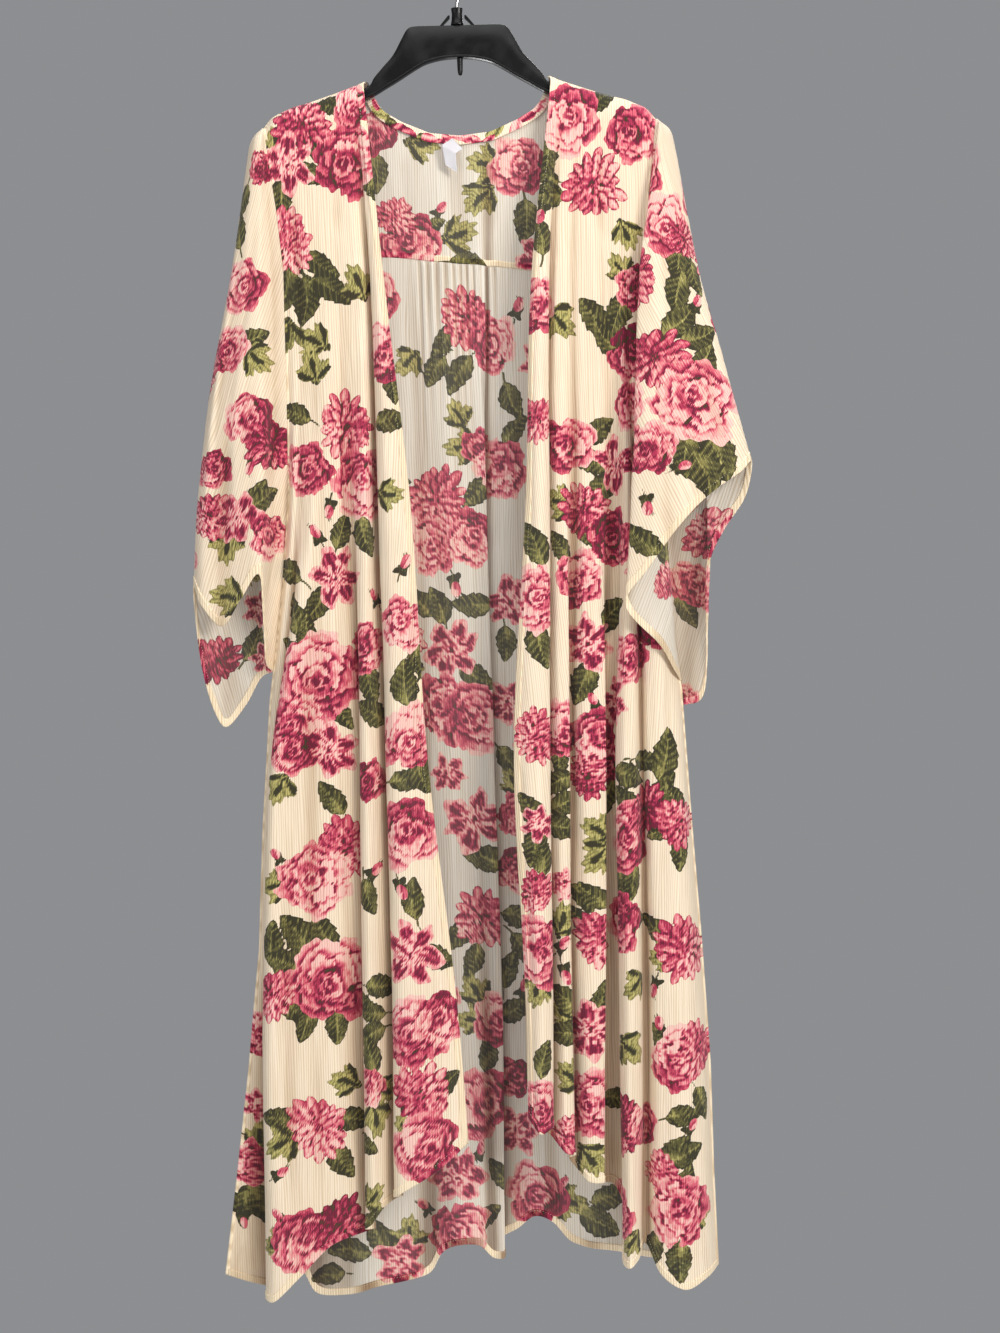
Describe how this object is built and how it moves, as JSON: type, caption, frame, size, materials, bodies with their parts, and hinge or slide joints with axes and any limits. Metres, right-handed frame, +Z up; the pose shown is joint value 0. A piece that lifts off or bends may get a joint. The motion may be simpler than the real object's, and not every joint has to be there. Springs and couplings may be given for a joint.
{
  "type": "kimono coat on a hanger",
  "caption": "Open kimono coat with wide sleeves and a gathered back, hanging from a plastic hanger with a wire hook; it hangs on a rail or hook.",
  "frame": {"origin": "inside the top of the hook's crook, where a rail or wall hook holds the hanger", "axes": "+Z up, +X to the right seen from the front, -Y out of the coat's front"},
  "size_m": [0.6017, 0.1454, 1.4674],
  "materials": {
    "printed_cloth": "sheer crinkled cloth with a tossed flower print",
    "binding_cloth": "narrow folded band of the same printed cloth",
    "label_white": "bare woven tape",
    "black_plastic": "moulded black plastic, satin",
    "wire_steel": "bright plated wire"
  },
  "bodies": {
    "root": {"front_left": "printed_cloth", "front_right": "printed_cloth", "back_yoke": "printed_cloth", "back_skirt": "printed_cloth", "sleeve_left": "printed_cloth", "sleeve_right": "printed_cloth", "neck_binding": "binding_cloth", "label": "label_white", "hanger_plate": "black_plastic", "hanger_neck": "black_plastic", "gusset_left": "black_plastic", "gusset_right": "black_plastic", "hanger_stub": "black_plastic", "hanger_hook": "wire_steel"}
  },
  "joints": []
}
